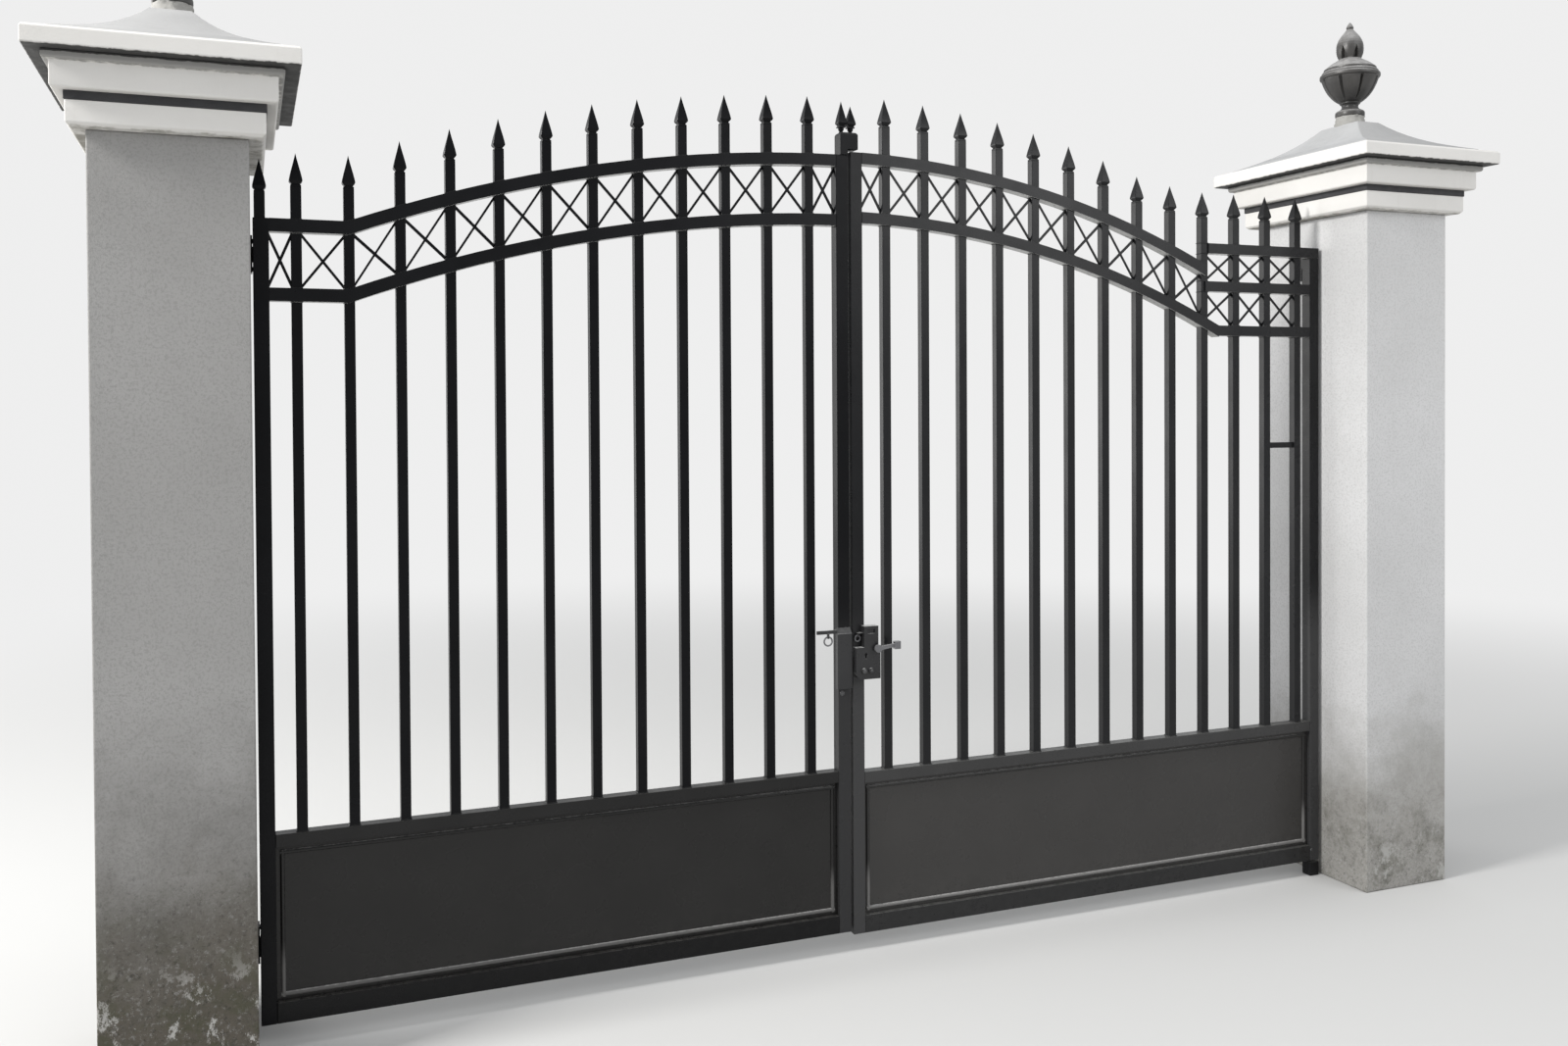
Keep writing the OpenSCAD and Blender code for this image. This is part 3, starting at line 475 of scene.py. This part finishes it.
# ---------------------------------------------------------------- urns
# Outline as shares of the urn's radius and height, from the base to the tip
URN = [
    (0.47, 0.088), (0.485, 0.093), (0.49, 0.1), (0.49, 0.122), (0.482, 0.132), (0.45, 0.142),
    (0.40, 0.149), (0.345, 0.156), (0.30, 0.166), (0.278, 0.178), (0.272, 0.188), (0.28, 0.198),
    (0.30, 0.206), (0.335, 0.212), (0.345, 0.218), (0.345, 0.224), (0.39, 0.23), (0.47, 0.245),
    (0.55, 0.263), (0.63, 0.286), (0.695, 0.308), (0.75, 0.33), (0.80, 0.354), (0.845, 0.38),
    (0.882, 0.403), (0.91, 0.425), (0.93, 0.44), (0.94, 0.45), (0.945, 0.456), (0.985, 0.46),
    (1.0, 0.468), (1.0, 0.486), (0.99, 0.495), (0.955, 0.499), (0.945, 0.503), (0.938, 0.515),
    (0.92, 0.523), (0.89, 0.529), (0.868, 0.532), (0.872, 0.54), (0.868, 0.55), (0.85, 0.556),
    (0.825, 0.56), (0.79, 0.569), (0.73, 0.583), (0.66, 0.597), (0.58, 0.611), (0.50, 0.624),
    (0.43, 0.635), (0.385, 0.643), (0.375, 0.65), (0.385, 0.66), (0.405, 0.675), (0.425, 0.692),
    (0.44, 0.71), (0.45, 0.73), (0.452, 0.75), (0.447, 0.775), (0.43, 0.80), (0.40, 0.823),
    (0.36, 0.845), (0.31, 0.866), (0.25, 0.887), (0.195, 0.905), (0.15, 0.92), (0.12, 0.93),
    (0.108, 0.936), (0.12, 0.942), (0.122, 0.952), (0.108, 0.962), (0.085, 0.975), (0.055, 0.988),
    (0.02, 1.0),
]
BOWL_FOOT, BOWL_TOP = 0.23, 0.455  # shares of the urn's height
BUD_FOOT, BUD_TOP = 0.648, 0.92
GROOVE_AT, PETAL_AT = math.radians(-153.3), math.radians(-134.3)  # a groove, and the middle of a petal
MORTAR = [(-0.004, 0.049), (0.004, 0.049), (0.009, 0.0475), (0.014, 0.0455), (0.019, 0.0448),
          (0.024, 0.044), (0.029, 0.0445), (0.033, 0.041)]  # height over the cap, radius


def halved(points):
    """The outline with one more point in the middle of each of its steps."""
    out = []
    for p1, p2 in zip(points, points[1:]):
        out += [p1, tuple(a + (b - a) * 0.5 for a, b in zip(p1, p2))]
    return out + [points[-1]]


def lobes(h, a):
    """Share of the radius left by the eight swelling panels of the bowl, with a groove between them."""
    fade = min(1.0, (h - BOWL_FOOT) / 0.03, (BOWL_TOP - h) / 0.012)
    valley = abs(math.sin(4 * (a - GROOVE_AT)))
    ridge = max(0.0, 1 - abs(valley - 0.30) / 0.14)
    groove = max(0.0, 1 - valley / 0.22) ** 0.8
    return 1 - 0.11 * fade * groove + 0.016 * fade * ridge - 0.02 * fade * (1 - valley ** 0.4)


def petals(h, a):
    """Share of the radius left by the six petals round the bud: raised edges, and gaps that close upwards."""
    t = (h - BUD_FOOT) / (BUD_TOP - BUD_FOOT)
    half = 0.46 + 0.54 * min(1.0, t * 2.3)
    u = abs(((a - PETAL_AT) * 6 / math.pi + 1) % 2 - 1)
    depth = 0.34 * (1 - t) ** 1.1 if u > half else 0.0
    edge = max(0.0, 1 - abs(u - half) / 0.09)
    soft = min(1.0, max(0.0, (u - half) / 0.1))
    swell = 0.05 * min(1, 3 * t) * (1 - t) * (1 - abs(math.cos(3 * (a - PETAL_AT))) ** 0.4)
    return (1 - depth * soft + 0.045 * edge * (1 - t)) * (1 - swell)


def urn_piece(side, cx, mat):
    def radius(row, a):
        h = (row[0] - Z_TOP) / URN_H
        r = row[1] * URN_R
        if BOWL_FOOT < h < BOWL_TOP:
            r *= lobes(h, a)
        if BUD_FOOT < h < BUD_TOP:
            r *= petals(h, a)
        return r

    bm = bmesh.new()
    lathe(bm, [(Z_TOP + h * URN_H, r) for r, h in halved(URN)], cx, 0.0, 144, radius)
    new_piece(side + "_urn_cast", bm, mat, "piers", (side + "_urn",), smooth=32)


def mortar_piece(side, cx, mat):
    """Rough mortar bed between the cap and the urn's base."""
    def radius(row, a):
        v = Vector((math.cos(a) * 3.1 + cx, math.sin(a) * 3.1, row[0] * 90))
        return row[1] * (1 + 0.09 * noise.noise(v) + 0.05 * noise.noise(v * 2.7))

    bm = bmesh.new()
    lathe(bm, [(Z_TOP + h, r) for h, r in MORTAR], cx, 0.0, 72, radius)
    new_piece(side + "_urn_mortar", bm, mat, "piers", smooth=50)


# ---------------------------------------------------------------- spears
# Height share and half-width share: a notch over the picket's end, a flared foot, a long taper, a sharp tip
SPEAR = [(0.0, 0.40), (0.035, 0.40), (0.05, 0.385), (0.062, 0.33), (0.075, 0.315), (0.09, 0.33),
         (0.125, 0.42), (0.165, 0.49), (0.185, 0.5), (0.21, 0.49), (0.30, 0.445), (0.42, 0.375),
         (0.55, 0.29), (0.70, 0.19), (0.85, 0.095), (0.95, 0.035), (1.0, 0.008)]
# The ball collar under a small spear: height and radius
COLLAR = [(0, 0.0065), (0.0015, 0.0068), (0.003, 0.0052), (0.0045, 0.0052), (0.006, 0.0066),
          (0.008, 0.0078), (0.0105, 0.0083), (0.013, 0.0078), (0.015, 0.0064), (0.016, 0.005)]
SMALL_W, SMALL_UP = 0.026, 0.014  # a small spear's width, and its foot over the collar's foot


def spear_point(bm, x, z, w, h):
    """A cast four-sided point with its arrises cut a little."""
    rings = []
    for t, s in SPEAR:
        r = s * w
        q = r * 0.9
        corners = [(r, q), (q, r), (-q, r), (-r, q), (-r, -q), (-q, -r), (q, -r), (r, -q)]
        rings.append([bm.verts.new((x + px, GATE_Y + py, z + t * h)) for px, py in corners])
    skin(bm, rings)


def spears_piece(name, points, stubs, small, mat, body, node):
    """points are (x, foot); stubs are (x, foot, top) of short pickets with a point; small are (x, foot, height)."""
    bm = bmesh.new()
    for x, z in points:
        spear_point(bm, x, z, SPEAR_W, SPEAR_H)
    half = PICKET / 2
    for x, z, top in stubs:
        add_box(bm, (x - half, GATE_Y - half, z), (x + half, GATE_Y + half, top))
        spear_point(bm, x, top, SPEAR_W, SPEAR_H)
    for x, z, h in small:
        lathe(bm, [(z + up, r) for up, r in COLLAR], x, GATE_Y, 24, lambda row, a: row[1])
        spear_point(bm, x, z + SMALL_UP, SMALL_W, h)
    new_piece(name, bm, mat, body, (node,), smooth=28)


def left_spears(mats):
    points = [(x, left_top(x) + PICKET_OVER) for x in LEFT_XS]
    flat = left_top(0)
    under_cornice = SHAFT_H - 0.006 - SPEAR_H
    stub = (LX0 + PICKET / 2 + 0.003, flat, min(flat + PICKET_OVER, under_cornice))
    block_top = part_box("meeting_block")[1][2]
    small = [(MID_X - 0.016, block_top, 0.074), (MID_X + 0.012, block_top, 0.062)]
    spears_piece("left_spear_points", points, [stub], small, mats["iron"], "left_leaf", "left_spears")


def right_spears(mats):
    """The right spears stand where the CAD ones do: their feet are read off the CAD node's mesh."""
    feet = {}
    for v in frame["nodes"]["right_spears"].data.vertices:
        i = min(range(len(RIGHT_XS)), key=lambda k: abs(RIGHT_XS[k] - v.co.x))
        feet[i] = min(feet.get(i, 9), v.co.z)
    points = [(RIGHT_XS[i], feet[i]) for i in sorted(feet)]
    spears_piece("right_spear_points", points, [], [], mats["iron_right"], "right_leaf", "right_spears")


# ---------------------------------------------------------------- welds and bolts
WELD_R = 0.0021
WELD_STEPS = 9  # along each side of a picket
# Share of the height and of the radius: seat, rim, dish and dome
BOLT = [(0.0, 1.0), (0.35, 1.0), (0.45, 0.97), (0.5, 0.86), (0.5, 0.78),
        (0.42, 0.72), (0.6, 0.66), (0.82, 0.5), (0.95, 0.28), (1.0, 0.08)]
BOLT_SEAT, LOCK_SEAT = FRONT_Y + 0.0004, -0.0778  # y on the stiles and on the lock
LEFT_BOLTS = [(1.6975, BOLT_SEAT, 0.736, 0.0072, 0.004)]  # under the keeper: x, y, z, radius, height
RIGHT_BOLTS = [(1.7545, LOCK_SEAT, 0.798, 0.0066, 0.003), (1.7765, LOCK_SEAT, 0.798, 0.0046, 0.003),
               (3.370, BOLT_SEAT, 0.085, 0.006, 0.003)]  # two on the lock, one at the outer foot


def weld_ring(bm, x, height, up, seed):
    """A ripple of weld round a picket at a rail's edge, height(x). up is 1 on top of the rail, -1 under it."""
    half = PICKET / 2
    corners = [(-half, -half), (half, -half), (half, half), (-half, half)]
    path = []
    for (ax, ay), (bx, by) in zip(corners, corners[1:] + corners[:1]):
        for k in range(WELD_STEPS):
            t = k / WELD_STEPS
            path.append((ax + (bx - ax) * t, ay + (by - ay) * t))
    rings = []
    for i, (dx, dy) in enumerate(path):
        px, py = path[i - 1]
        nx, ny = path[(i + 1) % len(path)]
        tan = Vector((nx - px, ny - py, 0)).normalized()
        out = Vector((tan.y, -tan.x, 0))
        wobble = 0.28 * noise.noise(Vector((x * 40 + i * 0.9, seed * 3.3, 0))) + 0.12 * math.sin(i * 2.1)
        r = WELD_R * (1 + wobble)
        base = Vector((x + dx, GATE_Y + dy, height(x + dx)))
        ring = []
        for k in range(5):
            a = math.pi / 2 * k / 4
            ring.append(bm.verts.new(base + out * (r * math.cos(a)) + Vector((0, 0, up * r * math.sin(a)))))
        ring.append(bm.verts.new(base + Vector((0, 0, -up * 0.0002)) - out * 0.0004))
        rings.append(ring)
    for a, b in zip(rings, rings[1:] + rings[:1]):
        for k in range(6):
            bm.faces.new((a[k], b[k], b[(k + 1) % 6], a[(k + 1) % 6]))


def left_edges(x):
    """The rail edges that a left picket meets, and which side the weld lies on."""
    return [(left_top, 1), (lambda q: left_top(q) - RAIL, -1), (lambda q: left_top(q) - BAND, 1),
            (lambda q: left_top(q) - BAND - RAIL, -1), (lambda q: LEFT_PANEL, 1)]


def right_edges(x):
    """The same for the right picket at x: from the one at POST_X on, the upper rails are flat."""
    low = [(right_lower, 1), (lambda q: right_lower(q) - RAIL, -1), (lambda q: RIGHT_PANEL, 1)]
    if x < POST_X - 0.05:
        return low + [(right_top, 1), (lambda q: right_top(q) - RAIL, -1)]
    return low + [(lambda q: MID_RAIL, 1), (lambda q: MID_RAIL - RAIL, -1),
                  (lambda q: END_RAIL - RAIL, -1), (lambda q: END_RAIL, 1)]


def welds(mats):
    for name, xs, edges, mat, body in (
            ("left_picket_welds", LEFT_XS, left_edges, "rail", "left_leaf"),
            ("right_picket_welds", RIGHT_XS, right_edges, "iron_right", "right_leaf")):
        bm = bmesh.new()
        for i, x in enumerate(xs):
            for j, (edge, up) in enumerate(edges(x)):
                weld_ring(bm, x, edge, up, i * 7 + j)
        new_piece(name, bm, mats[mat], body, smooth=60)


def bolt_head(bm, x, y, z, r, h):
    """A domed bolt head with a rim, facing the street: its seat at y, its dome towards -Y."""
    angles = [2 * math.pi * j / 28 for j in range(28)]
    skin(bm, [[bm.verts.new((x + share * r * math.cos(a), y - out * h, z + share * r * math.sin(a)))
               for a in angles] for out, share in BOLT])


def bolts(mats):
    for name, body, heads in (("left_bolts", "left_leaf", LEFT_BOLTS), ("right_bolts", "right_leaf", RIGHT_BOLTS)):
        bm = bmesh.new()
        for head in heads:
            bolt_head(bm, *head)
        new_piece(name, bm, mats["bolt"], body, smooth=40)


# ---------------------------------------------------------------- stage
def make_floor():
    """A pale floor that keeps the gate's shadow and runs into the plain background far from it."""
    bm = bmesh.new()
    bmesh.ops.create_circle(bm, cap_ends=True, radius=FLOOR_RADIUS, segments=96)
    me = bpy.data.meshes.new("floor")
    bm.to_mesh(me)
    bm.free()
    floor = bpy.data.objects.new("floor", me)
    floor.location = FLOOR_MIDDLE
    bpy.context.scene.collection.objects.link(floor)
    mat = bpy.data.materials.new("floor")
    mat.use_nodes = True
    tree = mat.node_tree
    bsdf = tree.nodes["Principled BSDF"]
    bsdf.inputs["Base Color"].default_value = FLOOR_COLOR
    bsdf.inputs["Roughness"].default_value = 0.95
    bsdf.inputs["Specular IOR Level"].default_value = 0.1
    place = tree.nodes.new("ShaderNodeTexCoord")
    length = tree.nodes.new("ShaderNodeVectorMath")
    length.operation = "LENGTH"
    fade = tree.nodes.new("ShaderNodeMapRange")
    fade.interpolation_type = "SMOOTHSTEP"
    fade.inputs["From Min"].default_value = FLOOR_FADE[0]
    fade.inputs["From Max"].default_value = FLOOR_FADE[1]
    glow = tree.nodes.new("ShaderNodeEmission")
    glow.inputs["Color"].default_value = BACKGROUND
    blend = tree.nodes.new("ShaderNodeMixShader")
    for a, b in ((place.outputs["Object"], length.inputs[0]), (length.outputs["Value"], fade.inputs["Value"]),
                 (fade.outputs[0], blend.inputs[0]), (bsdf.outputs[0], blend.inputs[1]),
                 (glow.outputs[0], blend.inputs[2]),
                 (blend.outputs[0], tree.nodes["Material Output"].inputs[0])):
        tree.links.new(a, b)
    me.materials.append(mat)


def make_world():
    """Soft light from all round; the camera sees the plain background instead."""
    world = bpy.data.worlds.new("world")
    bpy.context.scene.world = world
    world.use_nodes = True
    tree = world.node_tree
    tree.nodes.clear()
    out = tree.nodes.new("ShaderNodeOutputWorld")
    light = tree.nodes.new("ShaderNodeBackground")
    light.inputs[0].default_value = (0.97, 0.985, 1.0, 1)
    light.inputs[1].default_value = 0.62
    seen = tree.nodes.new("ShaderNodeBackground")
    seen.inputs[0].default_value = BACKGROUND
    path = tree.nodes.new("ShaderNodeLightPath")
    blend = tree.nodes.new("ShaderNodeMixShader")
    for a, b in ((path.outputs["Is Camera Ray"], blend.inputs[0]), (light.outputs[0], blend.inputs[1]),
                 (seen.outputs[0], blend.inputs[2]), (blend.outputs[0], out.inputs[0])):
        tree.links.new(a, b)


def lamp(name, where, aim, size, power, color):
    data = bpy.data.lights.new(name, "AREA")
    data.shape = "RECTANGLE"
    data.size, data.size_y = size
    data.energy = power
    data.color = color
    ob = bpy.data.objects.new(name, data)
    ob.location = where
    ob.rotation_euler = (Vector(aim) - Vector(where)).to_track_quat("-Z", "Y").to_euler()
    bpy.context.scene.collection.objects.link(ob)


def make_stage():
    make_floor()
    make_world()
    lamp("back_left", (-4.6, 7.6, 2.9), (2.2, 0, 1.3), (5.0, 5.0), 290, (1.0, 0.99, 0.97))
    lamp("key", (-4.8, -1.0, 5.2), (3.2, 0, 1.3), (1.8, 1.8), 620, (1.0, 0.985, 0.96))
    lamp("fill", (5.6, -5.2, 4.2), (2.4, 0, 1.2), (3.5, 3.5), 110, (1.0, 1.0, 1.0))
    lamp("overhead", (1.8, -0.8, 6.0), (1.8, 0, 1.0), (7.0, 1.6), 70, (1.0, 1.0, 1.0))
    bpy.context.scene.view_settings.view_transform = "Standard"


# ---------------------------------------------------------------- the object
# Width in metres and steps of a piece's rounded edges, by a word in its node's name; the first match counts
ROUNDED = {
    "pier_shaft": (0.004, 3), "cornice": (0.0022, 2), "cap_slab": (0.003, 3), "pyramid_cap": (0.003, 2),
    "dark_band": (0.001, 1), "stile": (0.0018, 2), "rail": (0.0018, 2), "pickets": (0.0015, 2),
    "braces": (0.0008, 1), "foot_post": (0.0018, 2), "tie_bar": (0.001, 1), "brackets": (0.0008, 1),
    "knuckles": (0.0008, 1), "meeting_block": (0.0012, 2), "keeper": (0.0012, 2), "lock_case": (0.0012, 2),
    "lever_handle": (0.0012, 2),
}
# These nodes keep the CAD mesh, or a piece of their own stands in for them
OWN = ("urn", "spears", "kick_panel", "beading", "pull_ring")
# A word in the node's name, and the paint that it takes; the first match counts
PAINTS = {
    "pull_ring": "wear_and_highlight", "lever_handle": "wear_and_highlight", "keeper_box": "lock", "lock_case": "lock",
    "upper_rail": "rail", "lower_rail": "rail", "end_rails": "rail", "beading": "bead",
    "panel_rails": "frame", "meeting_stile": "stile", "right_hinge_stile": "stile",
    "left_pier_shaft": "render_left",
}


def finish_of(node, mats):
    """A node's material. Steel on the right leaf, or beside it on the pier, takes the right-hand paint."""
    kind = next((v for k, v in PAINTS.items() if k in node), slot_of[node])
    right = body_of[node] in ("right_leaf", "lever") or node in ("right_foot_post", "right_hinge_brackets")
    return mats.get(kind + "_right", mats[kind]) if right else mats[kind]


def main():
    make_camera()
    make_stage()
    mats = make_materials()
    for node, ob in frame["nodes"].items():
        mat = finish_of(node, mats)
        if any(word in node for word in OWN):
            ob.data.materials.clear()
            ob.data.materials.append(mat)
        else:
            from_node(node, mat, *next((v for k, v in ROUNDED.items() if k in node), (0.001, 1)))
    for side, cx in zip(("left", "right"), PIER_X):
        urn_piece(side, cx, mats["urn"])
        mortar_piece(side, cx, mats["mortar"])
    left_spears(mats)
    right_spears(mats)
    welds(mats)
    bolts(mats)


main()
